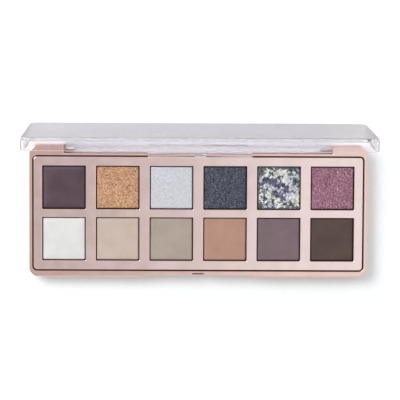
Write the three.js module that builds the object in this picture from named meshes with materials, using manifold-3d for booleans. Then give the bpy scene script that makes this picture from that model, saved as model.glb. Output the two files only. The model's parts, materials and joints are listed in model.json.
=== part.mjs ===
// A slim twelve-shade eyeshadow palette with a clear lid that turns on two steel pins.
// Millimetres, +X right, +Y back, +Z up. The origin is the middle of the base's footprint,
// on the surface that it lies on. The lid is drawn closed and then turned open.

import * as THREE from 'three';
import { mergeVertices } from 'three/addons/utils/BufferGeometryUtils.js';
import Module from 'manifold-3d';

const wasm = await Module();
wasm.setup();

// ---- driving dimensions ----

const PALETTE_WIDTH = 160;
const PALETTE_DEPTH = 63;
const CORNER_RADIUS = 4.6;
const BASE_HEIGHT = 9;
const BASE_FLOOR = 1.2;
const BASE_EDGE_ROUND = 0.7;

const SIDE_RIM = 1.5;
const FRONT_RIM = 2.8;
const BACK_RIM = 5.4;
const TRAY_SEAM = 0.6;
const TRAY_CORNER_RADIUS = 1.6;
const TRAY_SINK = 0.4;
const TRAY_PLATE = 1.1;
const TRAY_SKIRT = 1;
const TRAY_FLOOR_GAP = 0.1;

const COLUMNS = 6;
const ROWS = 2;
const COLUMN_PITCH = 25.4;
const ROW_PITCH = 24.4;
const WINDOW_SIZE = 20.6;
const WINDOW_RADIUS = 0.4;
const WELL_DEPTH = 3.7;
const WELL_WALL = 0.9;

const PAN_SIZE = 19.7;
const PAN_HEIGHT = 2.3;
const PAN_SHEET = 0.25;
const PAN_RADIUS = 0.5;
const POWDER_GAP = 0.05;
const POWDER_HEIGHT = 2.65;
const POWDER_EDGE_ROUND = 0.2;
const GLUE_DOT_RADIUS = 6;
const GLUE_DOT_THICKNESS = 0.2;
const GLUE_DOT_GAP = 0.05;

const LID_HEIGHT = 6.3;
const LID_WALL = 1.2;
const LID_PANEL = 1.5;
const LID_EDGE_ROUND = 1.1;
const LID_INSIDE_ROUND = 0.4;
const LID_SEAT_GAP = 0.15;
const LID_REST_ANGLE = 86;

const HINGE_INSET = 2.2;
const HINGE_DROP = 5.6;
const HINGE_BARREL_RADIUS = 1.8;
const HINGE_ARM = 1.8;
const HINGE_GAP_WIDTH = 126.8;
const HINGE_GAP_DEPTH = 4.3;
const HINGE_END_GAP = 0.4;
const SWING_RELIEF_RADIUS = 6.4;
const PIN_RADIUS = 0.8;
const PIN_LENGTH = 10;
const PIN_CLEARANCE = 0.05;
const PIN_FIT_GAP = 0.2;

const NOTCH_WIDTH = 50.7;
const NOTCH_DEPTH = 0.9;
const NOTCH_FLOOR = 3;
const TAB_WIDTH = 46.3;
const TAB_THICKNESS = 1.1;
const TAB_DROP = 2.45;
const TAB_NOTCH_GAP = 0.3;
const CATCH_SLOT = { width: 5.5, depth: 1.0, height: 3.2 };
const CATCH_BEAD = { width: 4.7, depth: 0.7, height: 1.1, aboveTabEnd: 0.3 };

const LABEL = { width: 56, depth: 34, recess: 0.3, thickness: 0.12, radius: 2, margin: 0.5, gap: 0.05 };
const LABEL_CENTRE_X = 42;

const CUT = 1; // how far a cutting body runs past the face that it cuts

// ---- places worked out from the dimensions ----

const HALF_WIDTH = PALETTE_WIDTH / 2;
const HALF_DEPTH = PALETTE_DEPTH / 2;
const HINGE_Y = HALF_DEPTH - HINGE_INSET;
const HINGE_Z = BASE_HEIGHT - HINGE_DROP;
const LID_TOP = BASE_HEIGHT + LID_HEIGHT;
const TRAY_TOP = BASE_HEIGHT - TRAY_SINK;
const POCKET_WIDTH = PALETTE_WIDTH - 2 * SIDE_RIM;
const POCKET_DEPTH = PALETTE_DEPTH - FRONT_RIM - BACK_RIM;
const POCKET_Y = (FRONT_RIM - BACK_RIM) / 2;
const TRAY_WIDTH = POCKET_WIDTH - 2 * TRAY_SEAM;
const TRAY_DEPTH = POCKET_DEPTH - 2 * TRAY_SEAM;
const WELL_FLOOR = TRAY_TOP - WELL_DEPTH;
const PAN_BOTTOM = WELL_FLOOR + GLUE_DOT_THICKNESS + 2 * GLUE_DOT_GAP;
const POWDER_BOTTOM = PAN_BOTTOM + PAN_SHEET + POWDER_GAP;
const POWDER_TOP = POWDER_BOTTOM + POWDER_HEIGHT;
const PLUG_SIZE = PAN_SIZE - 2 * (PAN_SHEET + POWDER_GAP);

// The shades, back row first, each from left to right.
const SHADES = [
  { name: 'plum', colour: 0x5f5058, shimmer: false },
  { name: 'gold', colour: 0xc89b78, shimmer: true },
  { name: 'silver', colour: 0xd0d0d6, shimmer: true },
  { name: 'midnight', colour: 0x545362, shimmer: true },
  { name: 'flake', colour: 0x6f7888, shimmer: true },
  { name: 'berry', colour: 0x966e7d, shimmer: true },
  { name: 'white', colour: 0xe4e5e0, shimmer: false },
  { name: 'beige', colour: 0xcbbbae, shimmer: false },
  { name: 'taupe', colour: 0xaea394, shimmer: false },
  { name: 'terracotta', colour: 0xb58d7a, shimmer: false },
  { name: 'mauve', colour: 0x7d6c71, shimmer: false },
  { name: 'brown', colour: 0x5c4c49, shimmer: false },
];

// ---- materials ----

const roseGold = new THREE.MeshStandardMaterial({ color: 0xe0bfb4, roughness: 0.25, metalness: 0.9 });
const clearPlastic = new THREE.MeshStandardMaterial({
  color: 0xe9e6ee, roughness: 0.05, metalness: 0, transparent: true, opacity: 0.3,
});
const panMetal = new THREE.MeshStandardMaterial({ color: 0xc9c9cc, roughness: 0.4, metalness: 1 });
const pinSteel = new THREE.MeshStandardMaterial({ color: 0xb8babd, roughness: 0.3, metalness: 1 });
const labelFilm = new THREE.MeshStandardMaterial({ color: 0xefece8, roughness: 0.6, metalness: 0 });
const glue = new THREE.MeshStandardMaterial({ color: 0xe6dfcf, roughness: 0.7, metalness: 0 });

function powderMaterial(shade) {
  return new THREE.MeshStandardMaterial({
    color: shade.colour,
    roughness: shade.shimmer ? 0.45 : 0.9,
    metalness: shade.shimmer ? 0.4 : 0,
  });
}

// ---- solids ----

// A closed three.js geometry as a solid that can be joined and cut.
function solid(geometry) {
  const bare = geometry.index ? geometry.toNonIndexed() : geometry.clone();
  bare.deleteAttribute('normal');
  bare.deleteAttribute('uv');
  const merged = mergeVertices(bare);
  return new wasm.Manifold(new wasm.Mesh({
    numProp: 3,
    vertProperties: merged.attributes.position.array,
    triVerts: new Uint32Array(merged.index.array),
  }));
}

function geometryOf(body) {
  const mesh = body.getMesh();
  const geometry = new THREE.BufferGeometry();
  geometry.setAttribute('position', new THREE.BufferAttribute(mesh.vertProperties, 3));
  geometry.setIndex(new THREE.BufferAttribute(mesh.triVerts, 1));
  return geometry;
}

function named(name, body, material) {
  const mesh = new THREE.Mesh(geometryOf(body), material);
  mesh.name = name;
  return mesh;
}

// An outline of a rectangle about the origin with round corners.
function roundedOutline(width, depth, radius, cornerSteps) {
  const points = [];
  const corners = [[1, 1], [-1, 1], [-1, -1], [1, -1]];
  corners.forEach(([sideX, sideY], quarter) => {
    for (let step = 0; step <= cornerSteps; step += 1) {
      const angle = (quarter + step / cornerSteps) * (Math.PI / 2);
      points.push(new THREE.Vector2(
        sideX * (width / 2 - radius) + radius * Math.cos(angle),
        sideY * (depth / 2 - radius) + radius * Math.sin(angle),
      ));
    }
  });
  return new THREE.Shape(points);
}

// An upright block with round corners from bottom to top. With round, its two rims are rounded too.
function roundedBlock({ width, depth, radius, bottom, top, x = 0, y = 0, steps = 4, round = 0 }) {
  const geometry = new THREE.ExtrudeGeometry(roundedOutline(width, depth, radius, steps), {
    depth: top - bottom - 2 * round,
    bevelEnabled: round > 0,
    bevelThickness: round,
    bevelSize: round,
    bevelOffset: -round,
    bevelSegments: 3,
    steps: 1,
  });
  geometry.translate(x, y, bottom + round);
  return solid(geometry);
}

// A plain box between two corners.
function boxBetween(low, high) {
  const size = high.map((value, index) => value - low[index]);
  const geometry = new THREE.BoxGeometry(...size);
  geometry.translate(...low.map((value, index) => value + size[index] / 2));
  return solid(geometry);
}

// A round bar along X, about the hinge axis.
function hingeBar(radius, fromX, toX, sides) {
  const geometry = new THREE.CylinderGeometry(radius, radius, toX - fromX, sides);
  geometry.rotateZ(Math.PI / 2);
  geometry.translate((fromX + toX) / 2, HINGE_Y, HINGE_Z);
  return solid(geometry);
}

function cellCentres() {
  const centres = [];
  for (let row = 0; row < ROWS; row += 1) {
    for (let column = 0; column < COLUMNS; column += 1) {
      centres.push({
        x: (column - (COLUMNS - 1) / 2) * COLUMN_PITCH,
        y: POCKET_Y + ((ROWS - 1) / 2 - row) * ROW_PITCH,
      });
    }
  }
  return centres;
}

// ---- the base ----

// The two blind holes, one in each lug, that the hinge pins are pressed into.
function lugPinHoles() {
  const start = HINGE_GAP_WIDTH / 2 - CUT;
  const end = HINGE_GAP_WIDTH / 2 + PIN_LENGTH / 2 + PIN_FIT_GAP;
  const radius = PIN_RADIUS + PIN_CLEARANCE;
  return hingeBar(radius, start, end, 20).add(hingeBar(radius, -end, -start, 20));
}

function baseShell() {
  const outer = roundedBlock({
    width: PALETTE_WIDTH, depth: PALETTE_DEPTH, radius: CORNER_RADIUS,
    bottom: 0, top: BASE_HEIGHT, steps: 8, round: BASE_EDGE_ROUND,
  });
  const pocket = roundedBlock({
    width: POCKET_WIDTH, depth: POCKET_DEPTH, radius: TRAY_CORNER_RADIUS + TRAY_SEAM,
    bottom: BASE_FLOOR, top: BASE_HEIGHT + CUT, y: POCKET_Y, steps: 5,
  });
  const hingeGap = boxBetween(
    [-HINGE_GAP_WIDTH / 2, HALF_DEPTH - HINGE_GAP_DEPTH, -CUT],
    [HINGE_GAP_WIDTH / 2, HALF_DEPTH + CUT, BASE_HEIGHT + CUT],
  );
  const thumbNotch = boxBetween(
    [-NOTCH_WIDTH / 2, -HALF_DEPTH - CUT, NOTCH_FLOOR],
    [NOTCH_WIDTH / 2, -HALF_DEPTH + NOTCH_DEPTH, BASE_HEIGHT + CUT],
  );
  const catchSlot = boxBetween(
    [-CATCH_SLOT.width / 2, -HALF_DEPTH, BASE_HEIGHT - CATCH_SLOT.height],
    [CATCH_SLOT.width / 2, -HALF_DEPTH + NOTCH_DEPTH + CATCH_SLOT.depth, BASE_HEIGHT + CUT],
  );
  const labelRecess = roundedBlock({
    width: LABEL.width + 2 * LABEL.margin, depth: LABEL.depth + 2 * LABEL.margin,
    radius: LABEL.radius + LABEL.margin, bottom: -CUT, top: LABEL.recess, x: LABEL_CENTRE_X,
  });
  return outer
    .subtract(pocket)
    .subtract(hingeGap)
    .subtract(thumbNotch)
    .subtract(catchSlot)
    .subtract(labelRecess)
    .subtract(lugPinHoles());
}

// The deck with its twelve windows, a well under each, and a skirt down to the base's floor.
function shadeTray() {
  const outline = { width: TRAY_WIDTH, depth: TRAY_DEPTH, y: POCKET_Y, steps: 5 };
  const block = roundedBlock({
    ...outline, radius: TRAY_CORNER_RADIUS, bottom: BASE_FLOOR + TRAY_FLOOR_GAP, top: TRAY_TOP,
  });
  const hollow = roundedBlock({
    width: TRAY_WIDTH - 2 * TRAY_SKIRT, depth: TRAY_DEPTH - 2 * TRAY_SKIRT,
    radius: TRAY_CORNER_RADIUS - TRAY_SKIRT, y: POCKET_Y, bottom: 0, top: TRAY_TOP - TRAY_PLATE,
  });
  let tray = block.subtract(hollow);
  const wellSize = WINDOW_SIZE + 2 * WELL_WALL;
  cellCentres().forEach(({ x, y }) => {
    tray = tray.add(roundedBlock({
      width: wellSize, depth: wellSize, radius: WINDOW_RADIUS + WELL_WALL,
      bottom: WELL_FLOOR - WELL_WALL, top: TRAY_TOP - TRAY_PLATE / 2, x, y, steps: 2,
    }));
  });
  cellCentres().forEach(({ x, y }) => {
    tray = tray.subtract(roundedBlock({
      width: WINDOW_SIZE, depth: WINDOW_SIZE, radius: WINDOW_RADIUS,
      bottom: WELL_FLOOR, top: TRAY_TOP + CUT, x, y, steps: 3,
    }));
  });
  return tray;
}

// A pressed metal pan, open at the top.
function pan(x, y) {
  const outer = roundedBlock({
    width: PAN_SIZE, depth: PAN_SIZE, radius: PAN_RADIUS,
    bottom: PAN_BOTTOM, top: PAN_BOTTOM + PAN_HEIGHT, x, y, steps: 3,
  });
  const inside = roundedBlock({
    width: PAN_SIZE - 2 * PAN_SHEET, depth: PAN_SIZE - 2 * PAN_SHEET, radius: PAN_RADIUS - PAN_SHEET,
    bottom: PAN_BOTTOM + PAN_SHEET, top: PAN_BOTTOM + PAN_HEIGHT + CUT, x, y, steps: 3,
  });
  return outer.subtract(inside);
}

// A cake that fills its pan and spreads over the pan's rim, so that the rim is hidden from above.
function powderCake(x, y) {
  const plug = roundedBlock({
    width: PLUG_SIZE, depth: PLUG_SIZE, radius: PAN_RADIUS - PAN_SHEET,
    bottom: POWDER_BOTTOM, top: POWDER_TOP - POWDER_EDGE_ROUND, x, y, steps: 3,
  });
  const cap = roundedBlock({
    width: PAN_SIZE, depth: PAN_SIZE, radius: PAN_RADIUS,
    bottom: PAN_BOTTOM + PAN_HEIGHT + POWDER_GAP, top: POWDER_TOP, x, y, steps: 3, round: POWDER_EDGE_ROUND,
  });
  return plug.add(cap);
}

function glueDot(x, y) {
  const geometry = new THREE.CylinderGeometry(GLUE_DOT_RADIUS, GLUE_DOT_RADIUS, GLUE_DOT_THICKNESS, 24);
  geometry.rotateX(Math.PI / 2);
  geometry.translate(x, y, (WELL_FLOOR + PAN_BOTTOM) / 2);
  return solid(geometry);
}

function bottomLabel() {
  return roundedBlock({
    width: LABEL.width, depth: LABEL.depth, radius: LABEL.radius, x: LABEL_CENTRE_X,
    bottom: LABEL.recess - LABEL.gap - LABEL.thickness, top: LABEL.recess - LABEL.gap,
  });
}

// ---- the lid, drawn closed ----

function lidTub() {
  const outer = roundedBlock({
    width: PALETTE_WIDTH, depth: PALETTE_DEPTH, radius: CORNER_RADIUS,
    bottom: BASE_HEIGHT - 2 * LID_EDGE_ROUND, top: LID_TOP, steps: 8, round: LID_EDGE_ROUND,
  });
  const inside = roundedBlock({
    width: PALETTE_WIDTH - 2 * LID_WALL, depth: PALETTE_DEPTH - 2 * LID_WALL,
    radius: CORNER_RADIUS - LID_WALL,
    bottom: BASE_HEIGHT - 3 * LID_EDGE_ROUND, top: LID_TOP - LID_PANEL, steps: 6, round: LID_INSIDE_ROUND,
  });
  const belowRim = boxBetween(
    [-PALETTE_WIDTH, -PALETTE_DEPTH, -BASE_HEIGHT],
    [PALETTE_WIDTH, PALETTE_DEPTH, BASE_HEIGHT + LID_SEAT_GAP],
  );
  return outer.subtract(inside).subtract(belowRim);
}

// The arm that runs down from the lid's back wall into the base's gap, and the barrel at its foot.
function lidKnuckle() {
  const halfLength = HINGE_GAP_WIDTH / 2 - HINGE_END_GAP;
  const arm = boxBetween(
    [-halfLength, HALF_DEPTH - HINGE_ARM, HINGE_Z],
    [halfLength, HALF_DEPTH, BASE_HEIGHT + LID_WALL],
  );
  return arm.add(hingeBar(HINGE_BARREL_RADIUS, -halfLength, halfLength, 28));
}

// What the lid's back corners give up so that they swing clear of the base's lugs.
function lidSwingRelief() {
  const start = HINGE_GAP_WIDTH / 2 - HINGE_END_GAP;
  return hingeBar(SWING_RELIEF_RADIUS, start, HALF_WIDTH + CUT, 64)
    .add(hingeBar(SWING_RELIEF_RADIUS, -HALF_WIDTH - CUT, -start, 64));
}

function lidPinHoles() {
  const end = HINGE_GAP_WIDTH / 2 + CUT;
  const start = HINGE_GAP_WIDTH / 2 - PIN_LENGTH / 2 - PIN_FIT_GAP;
  const radius = PIN_RADIUS + PIN_CLEARANCE;
  return hingeBar(radius, start, end, 20).add(hingeBar(radius, -end, -start, 20));
}

// The thumb tab at the front, with the bead on its inside that clicks into the base's slot.
function lidTab() {
  const innerFace = -HALF_DEPTH + NOTCH_DEPTH - TAB_NOTCH_GAP;
  const tab = boxBetween(
    [-TAB_WIDTH / 2, innerFace - TAB_THICKNESS, BASE_HEIGHT - TAB_DROP],
    [TAB_WIDTH / 2, innerFace, BASE_HEIGHT + LID_HEIGHT / 2],
  );
  const beadBottom = BASE_HEIGHT - TAB_DROP + CATCH_BEAD.aboveTabEnd;
  const bead = boxBetween(
    [-CATCH_BEAD.width / 2, innerFace - TAB_THICKNESS / 2, beadBottom],
    [CATCH_BEAD.width / 2, innerFace + CATCH_BEAD.depth, beadBottom + CATCH_BEAD.height],
  );
  return tab.add(bead);
}

function clearLid() {
  return lidTub()
    .subtract(lidSwingRelief())
    .add(lidKnuckle())
    .add(lidTab())
    .subtract(lidPinHoles());
}

// ---- the assembly ----

const palette = new THREE.Group();

palette.add(named('base_shell', baseShell(), roseGold));
palette.add(named('shade_tray', shadeTray(), roseGold));

cellCentres().forEach(({ x, y }, index) => {
  const shade = SHADES[index];
  palette.add(named(`glue_dot_${shade.name}`, glueDot(x, y), glue));
  palette.add(named(`pan_${shade.name}`, pan(x, y), panMetal));
  palette.add(named(`shade_${shade.name}`, powderCake(x, y), powderMaterial(shade)));
});

palette.add(named('bottom_label', bottomLabel(), labelFilm));

const pinMiddle = HINGE_GAP_WIDTH / 2;
palette.add(named(
  'hinge_pin_left',
  hingeBar(PIN_RADIUS, -pinMiddle - PIN_LENGTH / 2, -pinMiddle + PIN_LENGTH / 2, 20),
  pinSteel,
));
palette.add(named(
  'hinge_pin_right',
  hingeBar(PIN_RADIUS, pinMiddle - PIN_LENGTH / 2, pinMiddle + PIN_LENGTH / 2, 20),
  pinSteel,
));

// The lid turns about the hinge axis: its group's origin is put there, and the mesh moved back.
const lidSwing = new THREE.Group();
lidSwing.position.set(0, HINGE_Y, HINGE_Z);
lidSwing.rotation.x = -THREE.MathUtils.degToRad(LID_REST_ANGLE);
const lidMesh = named('clear_lid', clearLid(), clearPlastic);
lidMesh.position.set(0, -HINGE_Y, -HINGE_Z);
lidSwing.add(lidMesh);
palette.add(lidSwing);

export default palette;
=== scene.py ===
# A slim twelve-shade eyeshadow palette with a clear lid: its finished looks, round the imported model.
# Shapes are worked out in millimetres and brought to metres when a piece is placed.

import json
import math
import random

import bmesh
import bpy
from mathutils import Matrix, Vector, noise


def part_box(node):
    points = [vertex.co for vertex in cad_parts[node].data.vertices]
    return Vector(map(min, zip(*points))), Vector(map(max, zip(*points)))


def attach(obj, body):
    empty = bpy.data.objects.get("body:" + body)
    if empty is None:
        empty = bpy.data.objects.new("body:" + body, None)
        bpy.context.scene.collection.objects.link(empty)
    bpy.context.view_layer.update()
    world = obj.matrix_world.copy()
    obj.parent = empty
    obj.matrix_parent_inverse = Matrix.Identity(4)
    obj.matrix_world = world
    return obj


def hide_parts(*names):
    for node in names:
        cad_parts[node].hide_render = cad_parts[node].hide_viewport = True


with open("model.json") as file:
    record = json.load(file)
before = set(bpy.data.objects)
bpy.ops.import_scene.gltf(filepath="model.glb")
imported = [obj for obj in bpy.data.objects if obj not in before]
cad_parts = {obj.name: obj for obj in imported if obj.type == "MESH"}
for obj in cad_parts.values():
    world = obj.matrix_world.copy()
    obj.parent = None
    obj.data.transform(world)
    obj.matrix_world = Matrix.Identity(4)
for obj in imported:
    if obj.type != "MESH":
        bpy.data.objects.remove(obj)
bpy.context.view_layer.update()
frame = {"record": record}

MM = 0.001
TINY = 1e-4
LIGHT_BOUNCES = 32  # light runs a long way inside the clear lid, and stops only after this many turns

# ---- sizes, in millimetres ----

CORNER_RADIUS = 4.6
BASE_FLOOR = 1.2
BASE_EDGE_ROUND = 0.7
TRAY_SEAM = 0.6
TRAY_CORNER_RADIUS = 1.6
TRAY_PLATE = 1.1
TRAY_SKIRT = 1
WINDOW_SIZE = 20.6
WINDOW_RADIUS = 0.4
WELL_DEPTH = 3.7
WELL_WALL = 0.9
SHELL_EDGE_BREAK = 0.2
TRAY_EDGE_ROUND = 0.25
TRAY_EDGE_STEPS = 5

HINGE_GAP_DEPTH = 4.3
HINGE_END_GAP = 0.4
HINGE_BARREL_RADIUS = 1.8
HINGE_ARM = 1.8
SWING_RELIEF_RADIUS = 6.4
PIN_CLEARANCE = 0.05
PIN_FIT_GAP = 0.2
PIN_END_ROUND = 0.15

NOTCH_WIDTH = 50.7
NOTCH_DEPTH = 0.9
NOTCH_FLOOR = 3
TAB_WIDTH = 46.3
TAB_THICKNESS = 1.1
TAB_DROP = 2.45
TAB_NOTCH_GAP = 0.3
CATCH_SLOT = (5.5, 1.0, 3.2)
CATCH_BEAD = (4.7, 0.7, 1.1)
CATCH_BEAD_ABOVE_TAB_END = 0.3

LID_HEIGHT = 6.3
LID_WALL = 1.2
LID_PANEL = 1.5
LID_EDGE_ROUND = 1.1
LID_EDGE_BREAK = 0.22
LID_INSIDE_ROUND = 0.4
LID_SEAT_GAP = 0.15

PAN_SHEET = 0.25
PAN_RADIUS = 0.5
CAKE_GAP = 0.05
CAKE_STEPS = 90
GEL_SINK = 0.25

LABEL_RECESS = 0.3
LABEL_MARGIN = 0.5
LABEL_RADIUS = 2

# The shades, back row first, each from left to right.
SHADES = (
    "plum", "gold", "silver", "midnight", "flake", "berry",
    "white", "beige", "taupe", "terracotta", "mauve", "brown",
)


# ---- places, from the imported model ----

def box_mm(node):
    low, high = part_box(node)
    return Vector(low) / MM, Vector(high) / MM


BASE_LOW, BASE_HIGH = box_mm("base_shell")
TRAY_LOW, TRAY_HIGH = box_mm("shade_tray")
PIN_LOW, PIN_HIGH = box_mm("hinge_pin_right")
LABEL_LOW, LABEL_HIGH = box_mm("bottom_label")
HINGE = frame["record"]["behaviour"]["joints"][0]
HINGE_Y, HINGE_Z = (value / MM for value in HINGE["pos_m"][1:])
LID_REST_ANGLE = -HINGE["range_deg"][0]
PIN_X = (PIN_LOW.x + PIN_HIGH.x) / 2
PIN_RADIUS = (PIN_HIGH.z - PIN_LOW.z) / 2
PIN_LENGTH = PIN_HIGH.x - PIN_LOW.x
WELL_FLOOR = TRAY_HIGH.z - WELL_DEPTH
LID_TOP = BASE_HIGH.z + LID_HEIGHT


# ---- making and joining shapes ----

def round_edges(bm, edges, radius, steps):
    bmesh.ops.bevel(
        bm, geom=edges, offset=radius, offset_type="OFFSET", segments=steps,
        profile=0.5, affect="EDGES", clamp_overlap=False, material=-1,
    )


def block(low, high, corner=0, corner_steps=8, top_round=0, bottom_round=0, round_steps=4):
    """An upright block between two corners, with round uprights and, if asked, round rims."""
    low, high = Vector(low), Vector(high)
    bm = bmesh.new()
    bmesh.ops.create_cube(bm, size=1)
    bmesh.ops.scale(bm, vec=high - low, verts=bm.verts)
    bmesh.ops.translate(bm, vec=(low + high) / 2, verts=bm.verts)
    if corner:
        uprights = [edge for edge in bm.edges if abs(edge.verts[0].co.z - edge.verts[1].co.z) > TINY]
        round_edges(bm, uprights, corner, corner_steps)
    for height, radius in ((high.z, top_round), (low.z, bottom_round)):
        if radius:
            rim = [edge for edge in bm.edges if all(abs(v.co.z - height) < TINY for v in edge.verts)]
            round_edges(bm, rim, radius, round_steps)
    return bm


def draw_wall(bm, centre, scale, level):
    """Draws the open border out to a height, and scales its outline about the centre."""
    border = [edge for edge in bm.edges if edge.is_boundary]
    wall = bmesh.ops.extrude_edge_only(bm, edges=border)["geom"]
    for vertex in (item for item in wall if isinstance(item, bmesh.types.BMVert)):
        spot = centre + (vertex.co - centre) * scale
        vertex.co = (spot.x, spot.y, level)


def close_up(bm):
    """Closes the open border and turns every face outwards."""
    bmesh.ops.holes_fill(bm, edges=[edge for edge in bm.edges if edge.is_boundary], sides=0)
    bmesh.ops.recalc_face_normals(bm, faces=bm.faces)


def hinge_bar(radius, start, end, sides=48):
    """A round bar along X about the hinge axis."""
    bm = bmesh.new()
    bmesh.ops.create_cone(
        bm, cap_ends=True, segments=sides, radius1=radius, radius2=radius, depth=end - start,
    )
    bmesh.ops.rotate(bm, matrix=Matrix.Rotation(math.pi / 2, 3, "Y"), verts=bm.verts)
    bmesh.ops.translate(bm, vec=((start + end) / 2, HINGE_Y, HINGE_Z), verts=bm.verts)
    return bm


def as_object(bm, name):
    mesh = bpy.data.meshes.new(name)
    bm.to_mesh(mesh)
    bm.free()
    piece = bpy.data.objects.new(name, mesh)
    bpy.context.scene.collection.objects.link(piece)
    return piece


def settle(piece):
    """Applies the piece's modifiers to its mesh."""
    graph = bpy.context.evaluated_depsgraph_get()
    mesh = bpy.data.meshes.new_from_object(piece.evaluated_get(graph))
    piece.modifiers.clear()
    old = piece.data
    piece.data = mesh
    bpy.data.meshes.remove(old)


def combine(piece, operation, *tools):
    """Joins the tools to the piece, or cuts them out of it."""
    for bm in tools:
        tool = as_object(bm, "tool")
        change = piece.modifiers.new("change", "BOOLEAN")
        change.operation = operation
        change.solver = "EXACT"
        change.object = tool
        settle(piece)
        bpy.data.objects.remove(tool)


def break_edges(piece, width, steps, angle=40):
    """Rounds every sharp edge a little, as a mould does."""
    rounding = piece.modifiers.new("edge break", "BEVEL")
    rounding.width = width
    rounding.segments = steps
    rounding.limit_method = "ANGLE"
    rounding.angle_limit = math.radians(angle)
    rounding.use_clamp_overlap = False
    rounding.miter_outer = "MITER_ARC"
    settle(piece)


def smooth(piece, angle=35):
    """Smooth shading that keeps flat faces flat."""
    for face in piece.data.polygons:
        face.use_smooth = True
    piece.data.set_sharp_from_angle(angle=math.radians(angle))
    weighting = piece.modifiers.new("flat faces", "WEIGHTED_NORMAL")
    weighting.keep_sharp = True
    weighting.weight = 80


def place(piece, material, body, replaced=(), shade_paint=None, in_painted_shade=None):
    """Brings a piece to metres, gives it its material and hands it to its body. Faces that get painted
    shade, by their middle in millimetres, get the second material, the dark paint for shade."""
    piece.data.materials.clear()
    piece.data.materials.append(material)
    if shade_paint:
        piece.data.materials.append(shade_paint)
        for face in piece.data.polygons:
            face.material_index = int(in_painted_shade(face.center))
    piece.data.transform(Matrix.Scale(MM, 4))
    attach(piece, body)
    if replaced:
        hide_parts(*replaced)


# ---- materials ----

def srgb(colour):
    """An sRGB hex value as linear red, green, blue and alpha."""
    channels = [((colour >> shift) & 255) / 255 for shift in (16, 8, 0)]
    linear = [c / 12.92 if c <= 0.04045 else ((c + 0.055) / 1.055) ** 2.4 for c in channels]
    return (*linear, 1)


def add(tree, kind, inputs=None, **fields):
    """Adds a node with its fields, socket values and links."""
    made = tree.nodes.new(kind)
    for field, value in fields.items():
        setattr(made, field, value)
    for name, value in (inputs or {}).items():
        socket = made.inputs[name]
        if isinstance(value, bpy.types.NodeSocket):
            tree.links.new(value, socket)
        else:
            socket.default_value = value
    return made


def new_material(name):
    """An empty material, with its object coordinates in millimetres."""
    material = bpy.data.materials.new(name)
    material.use_nodes = True
    tree = material.node_tree
    tree.nodes.clear()
    place_on = add(tree, "ShaderNodeTexCoord")
    millimetres = add(
        tree, "ShaderNodeVectorMath",
        {0: place_on.outputs["Object"], "Scale": 1 / MM}, operation="SCALE",
    )
    return material, tree, millimetres.outputs[0]


def finish_material(tree, **inputs):
    shader = add(tree, "ShaderNodeBsdfPrincipled", {k.replace("_", " "): v for k, v in inputs.items()})
    add(tree, "ShaderNodeOutputMaterial", {"Surface": shader.outputs[0]})
    return shader


def colours(tree, factor, *stops):
    """A ramp through (position, hex colour) stops."""
    ramp = add(tree, "ShaderNodeValToRGB", {"Fac": factor})
    elements = ramp.color_ramp.elements
    while len(elements) < len(stops):
        elements.new(0.5)
    for element, (position, colour) in zip(elements, stops):
        element.position = position
        element.color = srgb(colour)
    return ramp.outputs["Color"]


def metallised_plastic(name, pink, plain, tan):
    """Moulded ABS, vacuum-metallised and lacquered rose gold: a bright mirror that the moulding's
    slow waves bend a little, with faint cloudiness in the lacquer and a tint that drifts between
    pink and tan along the palette."""
    material, tree, mm = new_material(name)
    waves = add(tree, "ShaderNodeTexNoise", {"Vector": mm, "Scale": 1 / 14, "Detail": 1.0})
    long_way = add(tree, "ShaderNodeMapping", {"Vector": mm, "Scale": (1 / 26, 1 / 7, 1 / 7)})
    drift = add(
        tree, "ShaderNodeTexNoise", {"Vector": long_way.outputs[0], "Scale": 1.0, "Detail": 1.5},
    )
    cloud = add(tree, "ShaderNodeTexNoise", {"Vector": mm, "Scale": 1 / 5, "Detail": 3.0})
    peel = add(tree, "ShaderNodeTexNoise", {"Vector": mm, "Scale": 1 / 0.7, "Detail": 2.0})
    bent = add(
        tree, "ShaderNodeBump", {"Height": waves.outputs["Fac"], "Strength": 0.25, "Distance": 0.0006},
    )
    skin = add(
        tree, "ShaderNodeBump",
        {"Height": peel.outputs["Fac"], "Strength": 0.05, "Distance": 0.00005, "Normal": bent.outputs[0]},
    )
    roughness = add(
        tree, "ShaderNodeMapRange",
        {"Value": cloud.outputs["Fac"], "From Min": 0.3, "From Max": 0.7, "To Min": 0.13, "To Max": 0.2},
    )
    finish_material(
        tree, Base_Color=colours(tree, drift.outputs["Fac"], (0.36, pink), (0.5, plain), (0.64, tan)),
        Metallic=1.0, Roughness=roughness.outputs[0], Normal=skin.outputs[0],
    )
    return material


def painted_shade_moulding(name, light, deep):
    """Painted shade for the narrow places: a dark copper-brown satin in place of the bright metal,
    so that they read shaded, with a fine texture like the mould's."""
    material, tree, mm = new_material(name)
    texture = add(tree, "ShaderNodeTexNoise", {"Vector": mm, "Scale": 1 / 0.6, "Detail": 3.0})
    skin = add(
        tree, "ShaderNodeBump", {"Height": texture.outputs["Fac"], "Strength": 0.1, "Distance": 0.00003},
    )
    finish_material(
        tree, Base_Color=colours(tree, texture.outputs["Fac"], (0.3, deep), (0.7, light)),
        Roughness=0.6, Normal=skin.outputs[0],
    )
    return material


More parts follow.
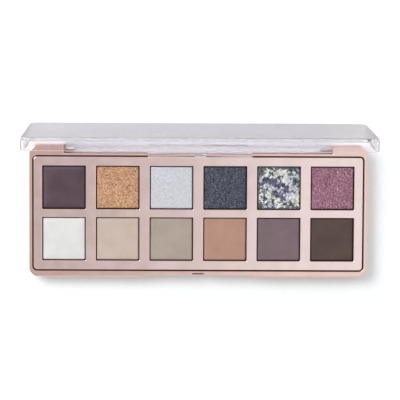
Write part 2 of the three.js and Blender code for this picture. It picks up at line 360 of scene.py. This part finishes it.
def clear_styrene():
    """Injection-moulded clear styrene with a breath of lilac, smokier where it is seen along its
    face: glossy, with faint flow lines. Lamps shine through it, as light does through a thin wall."""
    material, tree, mm = new_material("clear_styrene_moulded")
    stretched = add(tree, "ShaderNodeMapping", {"Vector": mm, "Scale": (0.02, 0.15, 0.15)})
    flow = add(
        tree, "ShaderNodeTexNoise", {"Vector": stretched.outputs[0], "Scale": 1.0, "Detail": 2.0},
    )
    skin = add(
        tree, "ShaderNodeBump", {"Height": flow.outputs["Fac"], "Strength": 0.02, "Distance": 0.0001},
    )
    haze = add(
        tree, "ShaderNodeMapRange",
        {"Value": flow.outputs["Fac"], "From Min": 0.3, "From Max": 0.7, "To Min": 0.04, "To Max": 0.09},
    )
    slant = add(tree, "ShaderNodeLayerWeight", {"Blend": 0.5})
    side = add(tree, "ShaderNodeNewGeometry")
    tint = add(
        tree, "ShaderNodeMix",
        {
            0: side.outputs["Backfacing"], 7: srgb(0xFEFEFE),
            6: colours(tree, slant.outputs["Facing"], (0.8, 0xF7F5F7), (0.89, 0xD5D1D4)),
        },
        data_type="RGBA",
    )
    plastic = add(
        tree, "ShaderNodeBsdfGlass",
        {"Color": tint.outputs[2], "Roughness": haze.outputs[0], "IOR": 1.57, "Normal": skin.outputs[0]},
    )
    open_way = add(tree, "ShaderNodeBsdfTransparent", {"Color": (0.85, 0.84, 0.86, 1)})
    ray = add(tree, "ShaderNodeLightPath")
    both = add(
        tree, "ShaderNodeMixShader",
        {0: ray.outputs["Is Shadow Ray"], 1: plastic.outputs[0], 2: open_way.outputs[0]},
    )
    add(tree, "ShaderNodeOutputMaterial", {"Surface": both.outputs[0]})
    return material


def matte_powder(name, colour, shade, glow):
    """Talc and pigment pressed with a little oil: dry, even, with a fine grain of about 0.15 mm,
    drawn at 0.3 mm so that it shows."""
    material, tree, mm = new_material(f"pressed_matte_powder_{name}")
    grain = add(tree, "ShaderNodeTexNoise", {"Vector": mm, "Scale": 1 / 0.3, "Detail": 4.0})
    patches = add(tree, "ShaderNodeTexNoise", {"Vector": mm, "Scale": 1 / 6, "Detail": 2.0})
    both = add(
        tree, "ShaderNodeMix",
        {0: 0.65, 2: grain.outputs["Fac"], 3: patches.outputs["Fac"]}, data_type="FLOAT",
    )
    tooth = add(
        tree, "ShaderNodeBump", {"Height": grain.outputs["Fac"], "Strength": 0.2, "Distance": 0.00003},
    )
    finish_material(
        tree, Base_Color=colours(tree, both.outputs[0], (0.3, shade), (0.5, colour), (0.7, glow)),
        Roughness=0.88, Normal=tooth.outputs[0],
    )
    return material


def cream_shade(name, colour, shade, glow):
    """A wax-rich cream poured hot and set: satin, smooth, its surface very slightly uneven."""
    material, tree, mm = new_material(f"poured_cream_{name}")
    swell = add(tree, "ShaderNodeTexNoise", {"Vector": mm, "Scale": 1 / 7, "Detail": 2.0})
    pores = add(tree, "ShaderNodeTexNoise", {"Vector": mm, "Scale": 1 / 0.5, "Detail": 2.0})
    skin = add(
        tree, "ShaderNodeBump", {"Height": pores.outputs["Fac"], "Strength": 0.06, "Distance": 0.00003},
    )
    roughness = add(
        tree, "ShaderNodeMapRange",
        {"Value": swell.outputs["Fac"], "From Min": 0.3, "From Max": 0.7, "To Min": 0.34, "To Max": 0.42},
    )
    finish_material(
        tree, Base_Color=colours(tree, swell.outputs["Fac"], (0.3, shade), (0.5, colour), (0.7, glow)),
        Roughness=roughness.outputs[0], Normal=skin.outputs[0],
    )
    return material


def shimmer_powder(name, stops, speck, tilt, metallic):
    """Pressed powder full of coated mica: each flake lies at its own tilt and lights up by itself,
    and where the press slid the flakes lie flatter."""
    material, tree, mm = new_material(f"pressed_shimmer_powder_{name}")
    flakes = add(tree, "ShaderNodeTexVoronoi", {"Vector": mm, "Scale": 1 / speck})
    drift = add(tree, "ShaderNodeTexNoise", {"Vector": mm, "Scale": 1 / (4 * speck), "Detail": 3.0})
    each = add(tree, "ShaderNodeSeparateColor", {0: flakes.outputs["Color"]})
    tone = add(
        tree, "ShaderNodeMix",
        {0: 0.4, 2: each.outputs[0], 3: drift.outputs["Fac"]}, data_type="FLOAT",
    )
    centred = add(
        tree, "ShaderNodeVectorMath",
        {0: flakes.outputs["Color"], 1: (0.5, 0.5, 0.5)}, operation="SUBTRACT",
    )
    patches = add(tree, "ShaderNodeTexNoise", {"Vector": mm, "Scale": 1 / 6, "Detail": 1.0})
    patch_tilt = add(
        tree, "ShaderNodeMapRange",
        {
            "Value": patches.outputs["Fac"], "From Min": 0.35, "From Max": 0.6,
            "To Min": tilt / 2, "To Max": tilt,
        },
    )
    leaning = add(
        tree, "ShaderNodeVectorMath",
        {0: centred.outputs[0], "Scale": patch_tilt.outputs[0]}, operation="SCALE",
    )
    flat = add(tree, "ShaderNodeNewGeometry")
    turned = add(
        tree, "ShaderNodeVectorMath",
        {0: flat.outputs["Normal"], 1: leaning.outputs[0]}, operation="ADD",
    )
    facing = add(tree, "ShaderNodeVectorMath", {0: turned.outputs[0]}, operation="NORMALIZE")
    roughness = add(
        tree, "ShaderNodeMapRange", {"Value": each.outputs[1], "To Min": 0.3, "To Max": 0.6},
    )
    finish_material(
        tree, Base_Color=colours(tree, tone.outputs[0], *stops),
        Metallic=metallic, Roughness=roughness.outputs[0], Normal=facing.outputs[0],
    )
    return material


def glitter_gel():
    """Clear gel tinted dark by fine glitter, under the big flakes."""
    material, tree, mm = new_material("pressed_glitter_gel")
    dust = add(tree, "ShaderNodeTexVoronoi", {"Vector": mm, "Scale": 1 / 0.55})
    each = add(tree, "ShaderNodeSeparateColor", {0: dust.outputs["Color"]})
    skin = add(
        tree, "ShaderNodeBump", {"Height": dust.outputs["Distance"], "Strength": 0.4, "Distance": 0.0001},
    )
    finish_material(
        tree,
        Base_Color=colours(tree, each.outputs[0], (0.1, 0x2E3138), (0.5, 0x474A52), (0.8, 0x6E747C)),
        Roughness=0.25, Normal=skin.outputs[0],
    )
    return material


def glitter_film(name, dark, light, metallic):
    """Cut polyester glitter: flat, bright, each flake a little different."""
    material, tree, mm = new_material(f"cut_glitter_film_{name}")
    each = add(tree, "ShaderNodeTexVoronoi", {"Vector": mm, "Scale": 1 / 0.9})
    pick = add(tree, "ShaderNodeSeparateColor", {0: each.outputs["Color"]})
    finish_material(
        tree, Base_Color=colours(tree, pick.outputs[0], (0.2, dark), (0.8, light)),
        Metallic=metallic, Roughness=0.35,
    )
    return material


def deep_drawn_aluminium():
    """Thin aluminium sheet, deep-drawn: satin, with fine draw lines down its sides."""
    material, tree, mm = new_material("deep_drawn_aluminium")
    lines = add(tree, "ShaderNodeMapping", {"Vector": mm, "Scale": (6, 6, 0.5)})
    drawn = add(tree, "ShaderNodeTexNoise", {"Vector": lines.outputs[0], "Scale": 1.0, "Detail": 2.0})
    roughness = add(
        tree, "ShaderNodeMapRange", {"Value": drawn.outputs["Fac"], "To Min": 0.3, "To Max": 0.5},
    )
    finish_material(
        tree, Base_Color=colours(tree, drawn.outputs["Fac"], (0.3, 0xB9BABD), (0.7, 0xD2D3D6)),
        Metallic=1.0, Roughness=roughness.outputs[0],
    )
    return material


def nickel_plated_wire():
    """Drawn steel wire, nickel-plated: bright, with lines along its length."""
    material, tree, mm = new_material("nickel_plated_steel_wire")
    lines = add(tree, "ShaderNodeMapping", {"Vector": mm, "Scale": (0.3, 8, 8)})
    drawn = add(tree, "ShaderNodeTexNoise", {"Vector": lines.outputs[0], "Scale": 1.0, "Detail": 2.0})
    roughness = add(
        tree, "ShaderNodeMapRange", {"Value": drawn.outputs["Fac"], "To Min": 0.2, "To Max": 0.4},
    )
    finish_material(
        tree, Base_Color=colours(tree, drawn.outputs["Fac"], (0.3, 0xDAD9D8), (0.7, 0xEDECEA)),
        Metallic=1.0, Roughness=roughness.outputs[0],
    )
    return material


def label_film():
    """Blank satin polypropylene label film, very slightly mottled."""
    material, tree, mm = new_material("satin_label_film")
    mottle = add(tree, "ShaderNodeTexNoise", {"Vector": mm, "Scale": 1 / 0.8, "Detail": 4.0})
    finish_material(
        tree, Base_Color=colours(tree, mottle.outputs["Fac"], (0.3, 0xECE8E3), (0.7, 0xF5F2EE)),
        Roughness=0.5,
    )
    return material


def hot_melt_glue():
    """A dot of hot-melt glue: cream coloured and waxy."""
    material, tree, mm = new_material("hot_melt_glue")
    swirl = add(tree, "ShaderNodeTexNoise", {"Vector": mm, "Scale": 1 / 2, "Detail": 2.0})
    finish_material(
        tree, Base_Color=colours(tree, swirl.outputs["Fac"], (0.3, 0xDDD4BE), (0.7, 0xEAE2CF)),
        Roughness=0.45,
    )
    return material


# ---- the base ----

def painted_shade_in_shell(spot):
    """True in the pocket, the hinge recess and the catch slot, which get painted shade in place of the
    plating.
    """
    high = BASE_HIGH
    along = max(0, abs(spot.x) - (high.x - CORNER_RADIUS))
    across = max(0, abs(spot.y) - (high.y - CORNER_RADIUS))
    depth = CORNER_RADIUS - math.hypot(along, across)
    if along == 0 or across == 0:
        depth = min(high.x - abs(spot.x), high.y - abs(spot.y))
    in_notch = spot.y < NOTCH_DEPTH + TINY - high.y and abs(spot.x) < NOTCH_WIDTH / 2 + TINY
    level = LABEL_RECESS + TINY < spot.z < high.z - SHELL_EDGE_BREAK
    return level and depth > 2 * SHELL_EDGE_BREAK and not in_notch


def base_shell(material, shade_paint):
    """The case: a block with round edges, hollowed for the tray and cut for the hinge, catch and label."""
    low, high = BASE_LOW, BASE_HIGH
    outside = block(
        low, high, CORNER_RADIUS, corner_steps=14,
        top_round=BASE_EDGE_ROUND, bottom_round=BASE_EDGE_ROUND, round_steps=5,
    )
    shell = as_object(outside, "base_shell_finished")
    seam = Vector((TRAY_SEAM, TRAY_SEAM, 0))
    pocket = block(
        (TRAY_LOW - seam).xy.to_3d() + Vector((0, 0, BASE_FLOOR)),
        (TRAY_HIGH + seam).xy.to_3d() + Vector((0, 0, high.z + 1)),
        TRAY_CORNER_RADIUS + TRAY_SEAM, corner_steps=10,
    )
    hinge_gap = block((-PIN_X, high.y - HINGE_GAP_DEPTH, -1), (PIN_X, high.y + 1, high.z + 1))
    notch_back = low.y + NOTCH_DEPTH
    thumb_notch = block(
        (-NOTCH_WIDTH / 2, low.y - 1, NOTCH_FLOOR), (NOTCH_WIDTH / 2, notch_back, high.z + 1),
    )
    slot_width, slot_depth, slot_height = CATCH_SLOT
    catch_slot = block(
        (-slot_width / 2, low.y, high.z - slot_height),
        (slot_width / 2, notch_back + slot_depth, high.z + 1),
    )
    margin = Vector((LABEL_MARGIN, LABEL_MARGIN, 0))
    label_recess = block(
        (LABEL_LOW - margin).xy.to_3d() - Vector((0, 0, 1)),
        (LABEL_HIGH + margin).xy.to_3d() + Vector((0, 0, LABEL_RECESS)),
        LABEL_RADIUS + LABEL_MARGIN,
    )
    combine(shell, "DIFFERENCE", pocket, hinge_gap, thumb_notch, catch_slot, label_recess)
    break_edges(shell, SHELL_EDGE_BREAK, steps=3)
    hole_end = PIN_X + PIN_LENGTH / 2 + PIN_FIT_GAP
    hole_radius = PIN_RADIUS + PIN_CLEARANCE
    combine(
        shell, "DIFFERENCE",
        hinge_bar(hole_radius, PIN_X - 1, hole_end), hinge_bar(hole_radius, -hole_end, 1 - PIN_X),
    )
    smooth(shell)
    place(shell, material, "base", ["base_shell"], shade_paint, painted_shade_in_shell)


def cell_centre(name):
    """The middle of a shade's cell, from its pan."""
    low, high = box_mm(f"pan_{name}")
    return (low + high) / 2


def square_block(centre, size, bottom, top, corner):
    half = size / 2
    return block(
        (centre.x - half, centre.y - half, bottom), (centre.x + half, centre.y + half, top),
        corner, corner_steps=6,
    )


def window_cutter(centre, top):
    """What a window takes out of the tray: a square hole whose mouth flares and rounds the deck's edge."""
    start = top - TRAY_EDGE_ROUND
    bm = square_block(centre, WINDOW_SIZE, WELL_FLOOR, start, WINDOW_RADIUS)
    top_face = [face for face in bm.faces if all(abs(v.co.z - start) < TINY for v in face.verts)]
    bmesh.ops.delete(bm, geom=top_face, context="FACES_ONLY")
    half = WINDOW_SIZE / 2
    levels = []
    for step in range(1, TRAY_EDGE_STEPS + 1):
        turn = math.pi / 2 * step / TRAY_EDGE_STEPS
        flare, rise = TRAY_EDGE_ROUND * (1 - math.cos(turn)), TRAY_EDGE_ROUND * math.sin(turn)
        levels.append((half + flare, start + rise))
    levels.append((half + TRAY_EDGE_ROUND, top + 1))
    for reach, level in levels:
        draw_wall(bm, centre, reach / half, level)
        half = reach
    close_up(bm)
    return bm


def shade_tray(material, shade_paint):
    """The deck on its skirt, with twelve wells, each open through a window. Only its top is plated; below
    it the wells get painted shade.
    """
    low, high = TRAY_LOW, TRAY_HIGH
    outside = block(
        low, high, TRAY_CORNER_RADIUS, corner_steps=10,
        top_round=TRAY_EDGE_ROUND, round_steps=TRAY_EDGE_STEPS,
    )
    tray = as_object(outside, "shade_tray_finished")
    skirt = Vector((TRAY_SKIRT, TRAY_SKIRT, 0))
    hollow = block(
        (low + skirt).xy.to_3d(), (high - skirt).xy.to_3d() + Vector((0, 0, high.z - TRAY_PLATE)),
        TRAY_CORNER_RADIUS - TRAY_SKIRT, corner_steps=6,
    )
    combine(tray, "DIFFERENCE", hollow)
    centres = [cell_centre(name) for name in SHADES]
    well_size = WINDOW_SIZE + 2 * WELL_WALL
    well_top = high.z - TRAY_PLATE / 2
    for centre in centres:
        well = square_block(centre, well_size, WELL_FLOOR - WELL_WALL, well_top, WINDOW_RADIUS + WELL_WALL)
        combine(tray, "UNION", well)
    for centre in centres:
        combine(tray, "DIFFERENCE", window_cutter(centre, high.z))
    smooth(tray)
    # Below the rounded edge of the deck, the tray gets the dark paint that stands for shade in the wells.
    painted_shade_below = high.z - TRAY_EDGE_ROUND
    place(
        tray, material, "base", ["shade_tray"],
        shade_paint, lambda spot: spot.z < painted_shade_below,
    )


def hinge_pins(material):
    """The two pins that the lid turns on, each halfway into a lug."""
    for side, name in ((-1, "hinge_pin_left"), (1, "hinge_pin_right")):
        start = side * PIN_X - PIN_LENGTH / 2
        bm = hinge_bar(PIN_RADIUS, start, start + PIN_LENGTH, sides=40)
        ends = [edge for edge in bm.edges if abs(edge.verts[0].co.x - edge.verts[1].co.x) < TINY]
        round_edges(bm, ends, PIN_END_ROUND, steps=3)
        pin = as_object(bm, f"{name}_finished")
        smooth(pin)
        place(pin, material, "base", [name])


# ---- the shades ----

def corner_shift(x, y, half, radius):
    """Moves a point of a square grid so that the square's corners become round."""
    along, across = abs(x) - (half - radius), abs(y) - (half - radius)
    if along <= 0 or across <= 0:
        return x, y
    u, v = along / radius, across / radius
    along, across = u * math.sqrt(1 - v * v / 2) * radius, v * math.sqrt(1 - u * u / 2) * radius
    return math.copysign(half - radius + along, x), math.copysign(half - radius + across, y)


def cake(name, edge_round, edge_fall, relief):
    """A pressed or poured cake: a fine grid for its face, its edges rolled down, a cap that hides
    the pan's rim, and a plug that fills the pan."""
    low, high = box_mm(name)
    middle = (low + high) / 2
    half = (high.x - low.x) / 2
    pan_top = box_mm(name.replace("shade_", "pan_"))[1].z
    bm = bmesh.new()
    bmesh.ops.create_grid(bm, x_segments=CAKE_STEPS, y_segments=CAKE_STEPS, size=half)
    for vertex in bm.verts:
        x, y = vertex.co.xy
        inset = half - max(abs(x), abs(y))
        fall = 0
        if inset < edge_round:
            fall = edge_round - math.sqrt(edge_round ** 2 - (edge_round - inset) ** 2)
        fall *= edge_fall / edge_round
        fade = min(1, inset / edge_round)
        height = high.z - fall + fade * relief(x, y)
        x, y = corner_shift(x, y, half, PAN_RADIUS)
        vertex.co = (middle.x + x, middle.y + y, height)
    plug = 1 - (PAN_SHEET + CAKE_GAP) / half
    for scale, level in ((1, pan_top + CAKE_GAP), (plug, pan_top + CAKE_GAP), (1, low.z)):
        draw_wall(bm, middle, scale, level)
    close_up(bm)
    piece = as_object(bm, f"{name}_finished")
    smooth(piece, angle=60)
    return piece


def ripple(seed, size, height, sink=0):
    """Uneven ground: a noise of the given size and height, in millimetres, never above zero or,
    where it is sunk, above that depth."""
    offset = Vector((seed * 17.3, seed * 5.9, 0))

    def relief(x, y):
        return height * (noise.noise(Vector((x, y, 0)) / size + offset) - 1) / 2 - sink

    return relief


# Each matte and cream: its colour, then the deeper and the paler one that it drifts to.
MATTES = {
    "beige": (0xB6A599, 0xB09F92, 0xBAAA9F),
    "taupe": (0x9C8F84, 0x95897D, 0xA2958A),
    "terracotta": (0xA47F6E, 0x9E7866, 0xA98676),
    "mauve": (0x6C5B60, 0x66555B, 0x716065),
    "brown": (0x4A3A34, 0x44342E, 0x503F38),
}
CREAMS = {
    "plum": (0x46313B, 0x412D36, 0x4A353F),
    "white": (0xCBCBC9, 0xC7C7C4, 0xCFCFCE),
}
# Each shimmer: its ramp from deep to bright, the width of a speck, the flakes' tilt, and how metallic.
SHIMMERS = {
    "gold": (((0.2, 0x83593C), (0.45, 0xB48665), (0.62, 0xC89C77), (0.85, 0xE9C9A9)), 0.34, 1, 0.5),
    "silver": (((0.2, 0xB3B5BA), (0.45, 0xBBBCC1), (0.62, 0xC1C2C8), (0.85, 0xCDCFD3)), 0.4, 0.35, 0.3),
    "midnight": (((0.2, 0x1B1C24), (0.45, 0x383948), (0.65, 0x4C505F), (0.85, 0x808695)), 0.34, 0.9, 0.5),
    "berry": (((0.2, 0x5F3749), (0.45, 0x855A6B), (0.62, 0x986B7C), (0.82, 0xC69FAE)), 0.34, 0.9, 0.5),
}


def shades():
    """The twelve cakes. Each has its own seed, so no two are uneven in the same way."""
    for seed, name in enumerate(SHADES):
        node = f"shade_{name}"
        if name in MATTES:
            uneven = ripple(seed, size=2.5, height=0.03)
            piece = cake(node, edge_round=1.2, edge_fall=0.45, relief=uneven)
            material = matte_powder(name, *MATTES[name])
        elif name in CREAMS:
            uneven = ripple(seed, size=5, height=0.03)
            piece = cake(node, edge_round=4, edge_fall=0.52, relief=uneven)
            material = cream_shade(name, *CREAMS[name])
        elif name in SHIMMERS:
            uneven = ripple(seed, size=0.7, height=0.12)
            piece = cake(node, edge_round=0.8, edge_fall=0.4, relief=uneven)
            material = shimmer_powder(name, *SHIMMERS[name])
        else:
            uneven = ripple(seed, size=1.5, height=0.1, sink=GEL_SINK)
            piece = cake(node, edge_round=0.6, edge_fall=0.3, relief=uneven)
            material = glitter_gel()
        place(piece, material, "base", [node])


# Where each film of glitter lies together in the pan, from its middle, and how far it reaches there.
FILM_DRIFTS = {
    "pearl": (
        (-3.5, 7.5, 2.6), (2.2, 7.5, 2.2), (1.5, 3.5, 1), (-1.5, -6, 1.1), (0.5, -8.5, 1.2),
        (-4.5, -3.5, 1.4), (-9, -4.5, 1.5), (8, -5.5, 1.8),
    ),
    "lilac": (
        (7.5, 6, 1.4), (5, 2.5, 1.6), (7, -1, 1.8), (-9, 4, 1), (-5.5, -7.5, 1.6),
        (-5, 0, 2), (4.5, -4, 1.6), (0, -1, 0.8),
    ),
    "indigo": (
        (-3, 3, 1.6), (1, 1.5, 1.5), (3.5, -0.5, 1.9), (2, -6, 1.6), (-3, -6, 0.8),
        (-1, -2.5, 1), (-7, 3, 1.4), (1, 5.5, 0.8),
    ),
    "smoke": (
        (-8.5, 8, 2.2), (5.5, 8.5, 1.6), (9, 8.5, 1.4), (7.5, 3, 1.5), (-8, 0, 1.6),
        (-7, -5, 1.1), (6, -8, 1.1), (-9.5, -9, 1),
    ),
}
STRAY_FLAKES = 0.2  # the part of the flakes that lies in another film's place
# Each film: its deeper and its paler colour, and how metallic.
FILMS = {
    "pearl": (0xA6A99F, 0xDEE0D4, 0.1),
    "lilac": (0x868A94, 0xCDD1D8, 0.2),
    "indigo": (0x37394E, 0x65687F, 0.4),
    "smoke": (0x2F3938, 0x77827F, 0.4),
}
FLAKE_COUNT = 620
FLAKE_RADIUS = 0.8
FLAKE_THICKNESS = 0.04
FLAKE_LEAN = 9  # degrees
FLAKE_DEPTHS = (0.03, 0.3)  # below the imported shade's top, least and most
FLAKE_EDGE_GAP = 0.75


def film_at(across, up, chance):
    """The film of a flake: that of the drift that it lies in, or now and then any other."""
    if chance.random() < STRAY_FLAKES:
        return chance.choice(list(FILM_DRIFTS))
    drifts = [
        (math.hypot(across - x, up - y) - reach, film)
        for film, places in FILM_DRIFTS.items() for x, y, reach in places
    ]
    return min(drifts)[1]


def glitter_flakes():
    """Hexagonal flakes pressed flat over each other in the gel, in four films."""
    low, high = box_mm("shade_flake")
    middle = (low + high) / 2
    chance = random.Random(7)
    reach = (high.x - low.x) / 2 - FLAKE_EDGE_GAP
    made = {film: bmesh.new() for film in FILMS}
    for _ in range(FLAKE_COUNT):
        across, up = chance.uniform(-reach, reach), chance.uniform(-reach, reach)
        spot = Vector((middle.x + across, middle.y + up, high.z - chance.uniform(*FLAKE_DEPTHS)))
        lean = Matrix.Rotation(math.radians(chance.gauss(0, FLAKE_LEAN)), 4, "X")
        lean @= Matrix.Rotation(math.radians(chance.gauss(0, FLAKE_LEAN)), 4, "Y")
        turn = Matrix.Rotation(chance.uniform(0, math.pi), 4, "Z")
        bmesh.ops.create_cone(
            made[film_at(across, up, chance)], cap_ends=True, segments=6,
            radius1=FLAKE_RADIUS, radius2=FLAKE_RADIUS, depth=FLAKE_THICKNESS,
            matrix=Matrix.Translation(spot) @ lean @ turn,
        )
    for film, look in FILMS.items():
        flakes = as_object(made[film], f"glitter_flakes_{film}")
        place(flakes, glitter_film(film, *look), "base")


# ---- the lid ----

def clear_lid(material):
    """Made closed, then turned open about the hinge."""
    low = Vector((BASE_LOW.x, BASE_LOW.y, BASE_HIGH.z + LID_SEAT_GAP))
    high = Vector((BASE_HIGH.x, BASE_HIGH.y, LID_TOP))
    wall = Vector((LID_WALL, LID_WALL, 0))
    outside = block(
        low, high, CORNER_RADIUS, corner_steps=14, top_round=LID_EDGE_ROUND, round_steps=6,
    )
    lid = as_object(outside, "clear_lid_finished")
    inside = block(
        low + wall - Vector((0, 0, 2)), high - wall - Vector((0, 0, LID_PANEL)),
        CORNER_RADIUS - LID_WALL, corner_steps=12, top_round=LID_INSIDE_ROUND,
    )
    knuckle_end = PIN_X - HINGE_END_GAP
    relief = (
        hinge_bar(SWING_RELIEF_RADIUS, knuckle_end, high.x + 1, sides=96),
        hinge_bar(SWING_RELIEF_RADIUS, low.x - 1, -knuckle_end, sides=96),
    )
    arm = block((-knuckle_end, high.y - HINGE_ARM, HINGE_Z), (knuckle_end, high.y, low.z + LID_WALL))
    barrel = hinge_bar(HINGE_BARREL_RADIUS, -knuckle_end, knuckle_end)
    tab_inside = low.y + NOTCH_DEPTH - TAB_NOTCH_GAP
    tab_end = BASE_HIGH.z - TAB_DROP
    tab = block(
        (-TAB_WIDTH / 2, tab_inside - TAB_THICKNESS, tab_end),
        (TAB_WIDTH / 2, tab_inside, BASE_HIGH.z + LID_HEIGHT / 2),
    )
    bead_width, bead_depth, bead_height = CATCH_BEAD
    bead_low = tab_end + CATCH_BEAD_ABOVE_TAB_END
    bead = block(
        (-bead_width / 2, tab_inside - TAB_THICKNESS / 2, bead_low),
        (bead_width / 2, tab_inside + bead_depth, bead_low + bead_height),
    )
    combine(lid, "DIFFERENCE", inside, *relief)
    combine(lid, "UNION", arm, barrel, tab, bead)
    break_edges(lid, LID_EDGE_BREAK, steps=3, angle=45)
    hole_start = PIN_X - PIN_LENGTH / 2 - PIN_FIT_GAP
    hole_radius = PIN_RADIUS + PIN_CLEARANCE
    combine(
        lid, "DIFFERENCE",
        hinge_bar(hole_radius, hole_start, PIN_X + 1), hinge_bar(hole_radius, -PIN_X - 1, -hole_start),
    )
    axis = Matrix.Translation((0, HINGE_Y, HINGE_Z))
    lid.data.transform(axis @ Matrix.Rotation(-math.radians(LID_REST_ANGLE), 4, "X") @ axis.inverted())
    smooth(lid)
    place(lid, material, "lid", ["clear_lid"])


# ---- the carried-over parts ----

def carried_over(material, *nodes):
    """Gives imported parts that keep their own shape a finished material."""
    for node in nodes:
        mesh = bpy.data.objects[node].data
        mesh.materials.clear()
        mesh.materials.append(material)


# ---- the studio ----

def paper_sweep():
    bm = bmesh.new()
    bmesh.ops.create_grid(bm, x_segments=1, y_segments=1, size=3)
    floor = as_object(bm, "floor")
    material, tree, mm = new_material("white_paper_sweep")
    tooth = add(tree, "ShaderNodeTexNoise", {"Vector": mm, "Scale": 1 / 2, "Detail": 3.0})
    paper = colours(tree, tooth.outputs["Fac"], (0.3, 0xEAEEEF), (0.7, 0xEDF1F2))
    finish_material(tree, Base_Color=paper, Roughness=0.9)
    floor.data.materials.append(material)


def white_tent():
    """Light all round: white cloth to the right, paler again at the far left, and a duller, warmer
    one between. The back and top of the tent are brighter than its front and foot."""
    world = bpy.data.worlds.new("white_tent")
    bpy.context.scene.world = world
    world.use_nodes = True
    tree = world.node_tree
    tree.nodes.clear()
    way = add(tree, "ShaderNodeTexCoord").outputs["Generated"]
    right_side = Vector((0.95, -0.31, 0)).normalized()
    across = add(tree, "ShaderNodeVectorMath", {0: way, 1: right_side}, operation="DOT_PRODUCT")
    right_cloth = add(
        tree, "ShaderNodeMapRange",
        {"Value": across.outputs["Value"], "From Min": -0.035, "From Max": 0.115},
        interpolation_type="SMOOTHSTEP",
    )
    far_left_cloth = add(
        tree, "ShaderNodeMapRange",
        {"Value": across.outputs["Value"], "From Min": -0.25, "From Max": -0.75, "To Max": 0.6},
        interpolation_type="SMOOTHSTEP",
    )
    whiteness = add(
        tree, "ShaderNodeMath",
        {0: right_cloth.outputs[0], 1: far_left_cloth.outputs[0]}, operation="MAXIMUM",
    )
    cloth = add(
        tree, "ShaderNodeMix",
        {0: whiteness.outputs[0], 6: (0.56, 0.485, 0.475, 1), 7: (1, 1, 1, 1)}, data_type="RGBA",
    )
    back_side = Vector((-0.15, 0.85, 0.5)).normalized()
    backwards = add(tree, "ShaderNodeVectorMath", {0: way, 1: back_side}, operation="DOT_PRODUCT")
    strength = add(
        tree, "ShaderNodeMapRange",
        {
            "Value": backwards.outputs["Value"], "From Min": -1.0, "From Max": 1.0,
            "To Min": 0.5, "To Max": 1.24,
        },
    )
    sky = add(tree, "ShaderNodeBackground", {"Color": cloth.outputs[2], "Strength": strength.outputs[0]})
    add(tree, "ShaderNodeOutputWorld", {"Surface": sky.outputs[0]})


def key_softbox():
    """A slightly cool softbox, high at the back left: its short shadow falls to the front and right."""
    key = bpy.data.lights.new("key_softbox", "AREA")
    key.shape = "SQUARE"
    key.size = 0.65
    key.energy = 10.3
    key.color = (0.94, 0.99, 1)
    lamp = bpy.data.objects.new("key_softbox", key)
    bpy.context.scene.collection.objects.link(lamp)
    lamp.location = Vector((-0.6, 0.45, 0.95))
    lamp.rotation_mode = "QUATERNION"
    lamp.rotation_quaternion = lamp.location.to_track_quat("Z", "Y")


def studio():
    paper_sweep()
    white_tent()
    key_softbox()
    scene = bpy.context.scene
    scene.view_settings.view_transform = "Standard"
    scene.cycles.max_bounces = LIGHT_BOUNCES
    scene.cycles.glossy_bounces = LIGHT_BOUNCES
    scene.cycles.transmission_bounces = LIGHT_BOUNCES
    scene.cycles.transparent_max_bounces = LIGHT_BOUNCES


def camera():
    """A long lens almost straight above, leaning back over the hinge by a few degrees."""
    target = Vector((0.8, 5.2, BASE_HIGH.z)) * MM
    lean_back, lean_left, roll = (math.radians(angle) for angle in (4.33, 0.81, 0.31))
    distance = 0.91
    back = Vector((
        -math.sin(lean_left) * math.cos(lean_back), math.sin(lean_back),
        math.cos(lean_left) * math.cos(lean_back),
    ))
    right = Vector((0, 1, 0)).cross(back).normalized()
    facing = Matrix((right, back.cross(right), back)).transposed() @ Matrix.Rotation(roll, 3, "Z")
    lens = bpy.data.cameras.new("copy_stand")
    lens.lens = 173.2
    lens.sensor_width = 36
    lens.clip_start = 0.01
    stand = bpy.data.objects.new("copy_stand", lens)
    stand.matrix_world = Matrix.Translation(target + back * distance) @ facing.to_4x4()
    bpy.context.scene.collection.objects.link(stand)
    bpy.context.scene.camera = stand


# ---- the making ----

camera()
studio()
rose_gold_base = metallised_plastic("metallised_abs_rose_gold_base", 0xEBCDC6, 0xEBCEC5, 0xEBCFC2)
# The tray is a paler rose gold than the base: partly its own tint, partly a painted highlight for the
# brighter light that its deck reflects.
rose_gold_tray = metallised_plastic("metallised_abs_rose_gold_tray", 0xEEDBDB, 0xEEDCD9, 0xEDDCD5)
# Dark brown paints the shade in the narrow recesses of the base and in the tray's wells, in place of the
# metal.
shade_paint_base = painted_shade_moulding("painted_shade_copper_brown_base", 0x98604E, 0x8A5445)
shade_paint_tray = painted_shade_moulding("painted_shade_dark_brown_tray", 0x6C443B, 0x5E3A33)
base_shell(rose_gold_base, shade_paint_base)
shade_tray(rose_gold_tray, shade_paint_tray)
hinge_pins(nickel_plated_wire())
shades()
glitter_flakes()
clear_lid(clear_styrene())
carried_over(deep_drawn_aluminium(), *(f"pan_{name}" for name in SHADES))
carried_over(hot_melt_glue(), *(f"glue_dot_{name}" for name in SHADES))
carried_over(label_film(), "bottom_label")
